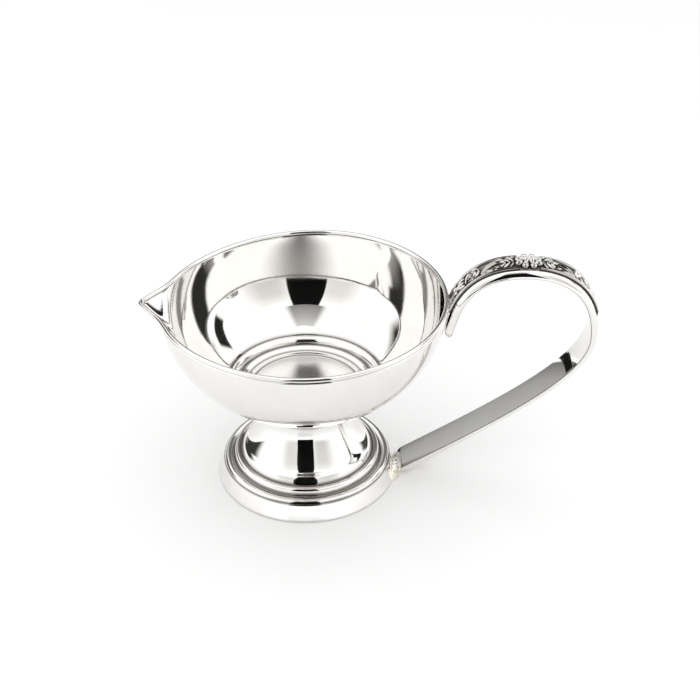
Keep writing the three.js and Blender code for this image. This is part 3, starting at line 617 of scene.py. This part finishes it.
# %% The foot
foot_out = run(
    [(10.0, 19.67), (10.0, 19.4)],
    bend((10.0, 19.4), (10.0, 15.2), (13.7, 10.2), (15.4, 9.1), 36),
    swing((15.4, 9.1), (16.2, 8.58), (16.4, 8.0), 8),
    [(16.4, 8.0), (16.62, 7.4)],
    swing((16.62, 7.4), (16.8, 6.92), (17.15, 6.9), 8),
    swing((17.15, 6.9), (18.35, 7.3), (18.6, 6.35), 12),
    swing((18.6, 6.35), (18.7, 6.1), (18.7, 5.8), 5),
    swing((18.7, 5.8), (18.7, 5.1), (19.35, 5.1), 8),
    swing((19.35, 5.1), (19.8, 5.35), (20.2, 5.4), 6),
    swing((20.2, 5.4), (21.05, 5.4), (21.35, 4.63), 10),
)
foot_in = run(
    [(18.3, 4.63), (17.4, 5.3), (15.6, 6.7)],
    bend((15.2, 8.1), (13.3, 9.2), (9.2, 14.3), (9.2, 18.1), 20),
    [(9.2, 19.67), (10.0, 19.67)],
)
foot = turn("lamp_foot", run(foot_out, foot_in), steps=224)
# Painted shade, with some grime, in the grooves between shoulder, bead, flange and band, and painted shade
# under the collar.
shade_dirty_grooves(
    foot, (16.9, 6.95, 0.5, 0.95), (18.85, 5.3, 0.6, 0.95), (21.4, 4.6, 0.35, 0.95), (10.0, 19.6, 0.4, 0.9))
finish_piece(foot, silver, "polished_silver", "foot")

# %% The base band
band = turn("lamp_band", run(
    [(20.3, 4.6), (22.1, 0), (22.6, 0)],
    swing((22.6, 0), (23.0, 0), (22.96, 0.35), 5),
    swing((22.96, 0.35), (22.2, 2.5), (21.5, 4.45), 12),
    swing((21.5, 4.45), (21.45, 4.6), (21.3, 4.6), 3),
    [(20.3, 4.6)],
), steps=224)
# Painted shade where the band meets the foot's flange and where it stands on the floor.
shade_dirty_grooves(band, (21.35, 4.6, 0.25, 0.8), (22.8, 0, 0.25, 0.8))
finish_piece(band, silver, "polished_silver", "foot_band")

# %% [markdown]
# ## Handle
# The handle is one flat bar, thicker at the foot, bent into a loop. It is made straight and then bent,
# as the smith does it: a box is drawn out to the bar's size, its corners and edges are rounded, and it
# is cut into short lengths that follow the loop's curve. The curve is that of the bar's inner face, from
# the foot up, round, and down to the lug, the end that lies along the bowl's wall. The same rule later
# bends the ornament.

# %% The loop's curve
LUG_TOP, LUG_TOE = 48.0, 41.8
WALL_RAISED = 0.38  # what the leaning rim adds to the wall's height there
LUG_OFF_WALL = 2.53  # room for the bar's thickness
TOE_OUT = 0.15
LUG_EASE = 7.6  # how far above the lug the bend already follows it
EVEN_OUT = 13  # points that share one direction


def lengths_along(line):
    """How far along a line each of its points lies."""
    return np.concatenate([[0], np.cumsum(np.linalg.norm(np.diff(line, axis=0), axis=1))])


def read_at(wanted, at, values):
    """Values that are known at some lengths along a line, read at the wanted ones."""
    return np.stack([np.interp(wanted, at, column) for column in values.T], 1)


lug_z = np.array([LUG_TOP, LUG_TOE])
lug_x = np.interp(lug_z - WALL_RAISED, wall[:, 1], wall[:, 0]) + LUG_OFF_WALL
lug_x[1] += TOE_OUT
lug_top, lug_toe = np.stack([lug_x, lug_z], 1)
lug_up = (lug_top - lug_toe) / np.linalg.norm(lug_top - lug_toe)
loop_parts = [
    bend((23.24, 2.02), (46.17, 16.46), (69.45, 30.8), (69.45, 42.0), 200),
    bend((69.45, 42.0), (69.45, 54.4), (61.8, 59.0), (52.5, 59.0), 160),
    bend((52.5, 59.0), (44.5, 59.0), lug_top + LUG_EASE * lug_up, lug_top, 160),
    np.linspace(lug_top, lug_toe, 30),
]
loop = np.array(run(*loop_parts))
loop_at = lengths_along(loop)
part_ends = np.cumsum([lengths_along(part)[-1] for part in loop_parts])
CROWN, LOOP_LENGTH = part_ends[1], loop_at[-1]
loop_way = np.pad(np.gradient(loop, loop_at, axis=0), ((EVEN_OUT // 2, EVEN_OUT // 2), (0, 0)), "edge")
loop_way = np.stack([np.convolve(column, np.ones(EVEN_OUT) / EVEN_OUT, "valid") for column in loop_way.T], 1)
loop_way /= np.linalg.norm(loop_way, axis=1)[:, None]
print("loop:", round(LOOP_LENGTH, 1), "mm long, crown at", round(CROWN, 1))


def bend_to_loop(piece, start=0.0):
    """Lays a flat piece on the loop. Its x runs along the loop from a start, its y across the bar, and
    its z out from the bar's inner face."""
    p = points_of(piece)
    s = np.clip(p[:, 0] + start, 0, LOOP_LENGTH)
    at, way = read_at(s, loop_at, loop), read_at(s, loop_at, loop_way)
    x = at[:, 0] + way[:, 1] * p[:, 2] + axis_x
    z = at[:, 1] - way[:, 0] * p[:, 2]
    put_points(piece, np.stack([x, p[:, 1], z], 1))


# %% A straight bar with rounded corners and edges
def pick_edges(piece, wanted):
    """Selects the edges whose two ends pass a test on (end, end) in millimetres."""
    bpy.ops.mesh.select_mode(type="EDGE")
    bpy.ops.mesh.select_all(action="DESELECT")
    mesh = bmesh.from_edit_mesh(piece.data)
    for edge in mesh.edges:
        edge.select_set(bool(wanted(*(v.co / MM for v in edge.verts))))
    bmesh.update_edit_mesh(piece.data)


def straight_bar(name, length, width, thickness, nose, inner_round, outer_round, pace):
    """A bar along x with round ends, its two faces' edges rounded, and a cut across it at each pace."""
    bar = new_piece(name, bpy.ops.mesh.primitive_cube_add, size=MM)
    bpy.ops.object.mode_set(mode="EDIT")
    bpy.ops.mesh.select_all(action="SELECT")
    bpy.ops.transform.resize(value=(length, width, thickness))
    bpy.ops.transform.translate(value=Vector((length / 2, 0, thickness / 2)) * MM)
    pick_edges(bar, lambda a, b: abs(a.z - b.z) > thickness * 0.9)
    bpy.ops.mesh.bevel(offset=nose * MM, segments=10, affect="EDGES")
    for face, size, parts in ((0, inner_round, 4), (thickness, outer_round, 10)):
        pick_edges(bar, lambda a, b: abs(a.z - face) < 1e-3 and abs(b.z - face) < 1e-3)
        bpy.ops.mesh.bevel(offset=size * MM, segments=parts, affect="EDGES")
    for x in np.arange(pace, length - pace / 2, pace):
        bpy.ops.mesh.select_all(action="SELECT")
        bpy.ops.mesh.bisect(plane_co=(x * MM, 0, 0), plane_no=(1, 0, 0))
    turn_faces_out(merge=1e-7)
    return bar


# %% The bar, thickened at the foot and bent
BAR_WIDTH, BAR_THICK, FOOT_THICK = 8.7, 1.9, 2.6
NOSE, INNER_ROUND, OUTER_ROUND, PACE = 2.0, 0.22, 1.72, 0.5
LINE_FROM, LINE_TO, LINE_BELOW, EDGE_LINE_DARK = 0.01, 0.12, 0.25, 0.8
THICK_UNTIL = part_ends[0] * 0.5
handle = straight_bar(
    "handle_bar", LOOP_LENGTH, BAR_WIDTH, BAR_THICK, NOSE, INNER_ROUND, OUTER_ROUND, PACE)
flat = points_of(handle)
ease = np.clip(flat[:, 0] / THICK_UNTIL, 0, 1)
ease = ease * ease * (3 - 2 * ease)
flat[:, 2] *= (FOOT_THICK + (BAR_THICK - FOOT_THICK) * ease) / BAR_THICK
put_points(handle, flat)

# A thin darker line follows the rounded edges of the inner face.
off_face = np.minimum(flat[:, 2], BAR_WIDTH / 2 - np.abs(flat[:, 1]))
on_edge = (off_face > LINE_FROM) & (off_face < LINE_TO) & (flat[:, 2] < LINE_BELOW)
write_mark(handle, "shade_grime_mark", np.where(on_edge, EDGE_LINE_DARK, 0.0))
bend_to_loop(handle)
smooth_up_to(35)
finish_piece(handle, silver, "polished_silver", "handle_strap")

# %% [markdown]
# ## Ornament
# On the arch lies a chased ornament: a ground plate between two half-round border wires, a flower on the
# crown, and on each side a large curling scroll, a smaller one and a few leaves. Each is drawn flat, as
# distance from the crown and place across the bar, and then bent over the arch with the same rule as
# the bar. The strokes are remembered, because the ground is darkened close to them with oxide and
# painted shade. The relief itself is darkened at its foot and in the cups of its petals with oxide and
# painted shade, and is bright on top, where the polishing cloth reaches.

# %% Raised strokes
GROUND_HALF, GROUND_TOP = 3.1, BAR_THICK + 0.25
STROKE_POINTS, STROKE_TIP = 56, 0.03
inked = []


def smooth_line(points):
    """A soft curve through points, as evenly spread places."""
    p = np.array(points, float)
    p = np.vstack([2 * p[0] - p[1], p, 2 * p[-1] - p[-2]])
    t = np.linspace(0, 1, 16, endpoint=False)[:, None]
    pieces = []
    for a, b, c, d in zip(p, p[1:], p[2:], p[3:]):
        square, cube = 2 * a - 5 * b + 4 * c - d, 3 * b - a - 3 * c + d
        pieces.append(0.5 * (2 * b + (c - a) * t + square * t**2 + cube * t**3))
    line = np.vstack([*pieces, p[-2:-1]])
    at = lengths_along(line)
    return read_at(np.linspace(0, at[-1], STROKE_POINTS), at, line)


def draw_stroke(points, half_width, height, taper=0.4):
    """A round wire along a flat line, thinner at its ends, pressed to a half-round stroke."""
    line = smooth_line(points)
    inked.extend((x, y, half_width) for x, y in line)
    bpy.ops.object.select_all(action="DESELECT")
    bpy.ops.curve.primitive_bezier_curve_add()
    curve = bpy.context.object.data
    curve.dimensions = "3D"
    curve.bevel_depth = half_width * MM
    curve.bevel_resolution = 3
    curve.use_fill_caps = True
    curve.splines.clear()
    spline = curve.splines.new("POLY")
    spline.points.add(len(line) - 1)
    for i, (point, (x, y)) in enumerate(zip(spline.points, line)):
        point.co = (x * MM, y * MM, 0, 1)
        t = min(max(i / (len(line) - 1), STROKE_TIP), 1 - STROKE_TIP)
        point.radius = taper + (1 - taper) * math.sqrt(math.sin(math.pi * t))
    bpy.ops.object.convert(target="MESH")
    stroke = bpy.context.object
    flat = points_of(stroke)
    flat[:, 2] = flat[:, 2] * height / half_width + GROUND_TOP
    put_points(stroke, flat)
    return stroke


# %% From strokes to a piece on the arch
# The relief's painted shade and oxide: darker towards the ground and in the cups of the petals.
DARK_FOOT, BRIGHT_FROM, DARK_FALL = 1.15, 0.62, 1.5  # painted shade and oxide at the foot, none above a share of the height
CUP_GAIN, CUP_START, CUP_SHADE_OXIDE = 1.6, 0.25, 0.85


def join_pieces(name, parts):
    bpy.ops.object.select_all(action="DESELECT")
    for part in parts:
        part.select_set(True)
    bpy.context.view_layer.objects.active = parts[0]
    if len(parts) > 1:
        bpy.ops.object.join()
    joined = bpy.context.object
    joined.name = joined.data.name = name
    return joined


def lay_relief(name, parts, *nodes):
    """Joins strokes, marks painted shade and oxide on them towards the ground and in their cups, and bends
    them over the arch.
    """
    relief = join_pieces(name, parts)
    above = points_of(relief)[:, 2] - GROUND_TOP
    dark = np.clip(DARK_FOOT - above / (BRIGHT_FROM * above.max()), 0, 1) ** DARK_FALL
    if "cup" in relief.data.attributes:
        cup = np.empty(len(above))
        relief.data.attributes["cup"].data.foreach_get("value", cup)
        dark = np.maximum(dark, np.clip(cup * CUP_GAIN - CUP_START, 0, CUP_SHADE_OXIDE))
    write_mark(relief, "shade_grime_mark", dark)
    bend_to_loop(relief, CROWN)
    bpy.ops.object.mode_set(mode="EDIT")
    turn_faces_out(merge=1e-7)
    smooth_up_to(50)
    finish_piece(relief, relief_silver, "relief_silver", *nodes)


# %% Borders
FLOWER_AT = -0.9  # from the crown, towards the bend
RAIL_ACROSS, RAIL_FROM = GROUND_HALF - 0.3, 2.4
for where, side, reach in (("bowl_side", 1, 20.5), ("bend_side", -1, 20.0)):
    for edge, across in (("front", -RAIL_ACROSS), ("back", RAIL_ACROSS)):
        line = [(FLOWER_AT + side * x, across) for x in (RAIL_FROM, reach / 2, reach)]
        lay_relief(f"rail_{edge}_{where}", [draw_stroke(line, 0.3, 0.6, 0.6)], f"border_{edge}_{where}")

# %% [markdown]
# A scroll is a few curling lines, one inside the other, and a leaf is a short stroke. Their points are
# a share of the motif's length and a place across the bar, so one drawing serves both sides of the flower.

# %% Scrolls and leaves
LARGE_SCROLL = [
    [(1.0, -1.3), (0.78, 0.3), (0.5, 1.2), (0.25, 1.55),
     (0.07, 1.1), (0, 0), (0.03, -1.0), (0.12, -1.75)],
    [(0.34, 0.95), (0.19, 0.7), (0.13, 0), (0.17, -0.9), (0.3, -1.65)],
    [(0.95, -1.1), (0.7, 0.05), (0.47, 0.6), (0.31, 0.45),
     (0.26, -0.2), (0.33, -0.95), (0.47, -1.15), (0.55, -0.7)],
]
SMALL_SCROLL = [
    [(1.0, -1.0), (0.85, 0.5), (0.5, 1.45), (0.12, 1.3),
     (0, 0.3), (0.1, -0.8), (0.42, -1.4), (0.72, -1.0)],
    [(0.8, -0.2), (0.5, 0.65), (0.28, 0.6), (0.24, -0.05), (0.42, -0.65), (0.56, -0.35)],
]
INNER_LEAVES = [[(-0.04, 1.75), (0.05, 1.9)], [(1.0, -1.75), (0.8, -1.6), (0.62, -1.75), (0.5, -1.65)]]
END_LEAVES = [
    [(0, 1.3), (0.25, 1.05), (0.5, 0.55)],
    [(0.05, 0.1), (0.35, 0.05), (0.7, -0.1)],
    [(0, -1.3), (0.25, -1.05), (0.5, -0.55)],
    [(0.65, 0.95), (0.95, 0.5)],
    [(0.65, -0.95), (0.95, -0.5)],
]
SPREAD = 1.18  # widens the drawings to the ground between the rails

# Each motif has a piece name, a node name, its lines, where it begins, its length, and the half width
# and height of its strokes.
MOTIFS = [
    ("curl_large", "scroll_large", LARGE_SCROLL, 3.3, 7.0, 0.31, 0.8),
    ("curl_small", "scroll_small", SMALL_SCROLL, 10.7, 3.5, 0.31, 0.75),
    ("leaves_inner", "leaf_inner", INNER_LEAVES, 3.3, 7.0, 0.34, 0.7),
    ("leaves_end", "leaf_end", END_LEAVES, 14.4, 3.6, 0.42, 0.7),
]
for where, side in (("bowl_side", 1), ("bend_side", -1)):
    for piece_name, node_name, lines, begin, length, half_width, height in MOTIFS:
        strokes = []
        for line in lines:
            placed = [(FLOWER_AT + side * (begin + length * u), v * SPREAD) for u, v in line]
            strokes.append(draw_stroke(placed, half_width, height))
        lay_relief(f"{piece_name}_{where}", strokes, f"{node_name}_{where}")


# %% Flower
CUP_OFF, CUP_R, CUP_DEEP = 0.1, 0.6, 0.6  # in the round petal, before it is stretched
OUTER_PETALS, INNER_PETALS = 8, 5


def petal(middle, angle, long, wide, high):
    """A cupped petal of a length, width and height, its middle a distance from the flower's centre."""
    leaf = new_piece("petal", bpy.ops.mesh.primitive_uv_sphere_add, segments=24, ring_count=14, radius=MM)
    p = points_of(leaf)
    cup = np.clip(1 - np.hypot(p[:, 0] - CUP_OFF, p[:, 1]) / CUP_R, 0, 1)
    p[:, 2] -= np.where(p[:, 2] > 0, cup * CUP_DEEP, 0)
    write_mark(leaf, "cup", np.where(p[:, 2] > 0, cup, 0) * (middle > 0))
    p *= (long, wide, high)
    c, s = math.cos(angle), math.sin(angle)
    x = c * p[:, 0] - s * p[:, 1] + middle * c + FLOWER_AT
    y = s * p[:, 0] + c * p[:, 1] + middle * s
    put_points(leaf, np.stack([x, y, p[:, 2] + GROUND_TOP], 1))
    inked.append((FLOWER_AT + middle * c, middle * s, max(long, wide)))
    return leaf


petals = [petal(2.25, math.tau * (i + 0.5) / OUTER_PETALS, 0.92, 0.78, 1.35) for i in range(OUTER_PETALS)]
for i in range(INNER_PETALS):
    petals.append(petal(0.98, math.tau * i / INNER_PETALS + math.pi / 2, 0.7, 0.48, 1.8))
petals.append(petal(0, 0, 0.42, 0.42, 1.9))
lay_relief("flower", petals, "flower_rosette")

# %% [markdown]
# The ground is a thin plate. The smith darkens the whole ornament and then polishes it again, so the
# open ground comes back to grey and the corners beside each stroke stay dark with oxide. Painted shade
# darkens those corners further. How close a place is to a stroke is written on the plate's points, and
# the material reads it.

# %% The ground plate
GROUND_FROM, GROUND_TO = CROWN - 22.5, CROWN + 21.0
GROUND_SUNK = BAR_THICK - 0.05  # the plate's back, a little inside the bar
ROUND_END, END_WIDTH = 2.2, 0.35
SHADE_OXIDE_REACH = 0.25
ground = new_piece(
    "ornament_ground", bpy.ops.mesh.primitive_grid_add, x_subdivisions=300, y_subdivisions=44, size=MM)
bpy.ops.object.mode_set(mode="EDIT")
bpy.ops.mesh.select_all(action="SELECT")
bpy.ops.transform.resize(value=(GROUND_TO - GROUND_FROM, 2 * GROUND_HALF, 1))
bpy.ops.transform.translate(value=Vector(((GROUND_FROM + GROUND_TO) / 2, 0, GROUND_SUNK)) * MM)
raised = (0, 0, (GROUND_TOP - GROUND_SUNK) * MM)
bpy.ops.mesh.extrude_region_move(TRANSFORM_OT_translate={"value": raised})
turn_faces_out()
flat = points_of(ground)
fade = np.clip(np.minimum(flat[:, 0] - GROUND_FROM, GROUND_TO - flat[:, 0]) / ROUND_END, 0, 1)
flat[:, 1] *= END_WIDTH + (1 - END_WIDTH) * np.sqrt(fade * (2 - fade))
near = np.full(len(flat), np.inf)
for x, y, half in inked:
    near = np.minimum(near, np.hypot(flat[:, 0] - CROWN - x, flat[:, 1] - y) - half)
# Painted shade and oxide, the stronger the closer to a stroke.
write_mark(ground, "shade_grime_mark", np.exp(-np.maximum(near, 0) / SHADE_OXIDE_REACH))
put_points(ground, flat)
bend_to_loop(ground)
smooth_up_to(35)
finish_piece(ground, dark_silver, "oxidised_silver", "ornament_plate")

# %% [markdown]
# ## Solder
# At the foot the strap's end is soldered to the base band. The solder fills the wedge between the two
# with a hollow fillet, runs a little way down in front, and keeps a crinkled skin where it cooled. It is
# a little warmer than silver. A grid is shaped by that description, and then given a bottom.

# %% The soldered fillet
FRONT_END, ACROSS = -6.4, 11.0
ARCH_MIDDLE, ARCH_HALF, ARCH_POWER = -0.6, 5.9, 0.55  # the smaller the power, the blunter the ends
BAND_R, UNDER_BAND = 22.5, 0.5  # the solder starts a little inside the band
REACH_OUT, ARCH_HIGH, HOLLOW_DEEP, HOLLOW_AT, CRINKLE = 2.6, 2.1, 0.75, 0.45, 0.07
RUN_DOWN, THIN_END = 2.2, 0.35  # the front end thins out over this length, to this share
THINNEST, BOTTOM = 0.12, 0.05
fillet = new_piece(
    "solder_fillet", bpy.ops.mesh.primitive_grid_add, x_subdivisions=28, y_subdivisions=64, size=1)
outward, sideways = np.array([v.co[:2] for v in fillet.data.vertices]).T + 0.5
y = FRONT_END + ACROSS * sideways
arch = np.clip(1 - ((y - ARCH_MIDDLE) / ARCH_HALF) ** 2, 0, 1)
left = np.sqrt(BAND_R**2 - y**2) - UNDER_BAND
right = left + UNDER_BAND + REACH_OUT * np.sqrt(arch)
x = left + (right - left) * outward
hollow = 4 * (outward - HOLLOW_AT) ** 2
thinned = THIN_END + (1 - THIN_END) * np.clip((y - FRONT_END) / RUN_DOWN, 0, 1)
height = (ARCH_HIGH * arch**ARCH_POWER + HOLLOW_DEEP * hollow * arch) * thinned
waves = np.sin(5.3 * y + 2.1 * outward) * np.sin(9 * outward + 1.3 * y)
height += CRINKLE * waves * arch
put_points(fillet, np.stack([x + axis_x, y, np.maximum(height, THINNEST)], 1))
bpy.ops.object.mode_set(mode="EDIT")
bpy.ops.mesh.select_all(action="SELECT")
bpy.ops.mesh.extrude_region_move()
bpy.ops.transform.resize(value=(1, 1, 0), center_override=(0, 0, BOTTOM * MM))
turn_faces_out()
smooth_up_to(50)
finish_piece(fillet, solder, "silver_solder", "foot_joint")
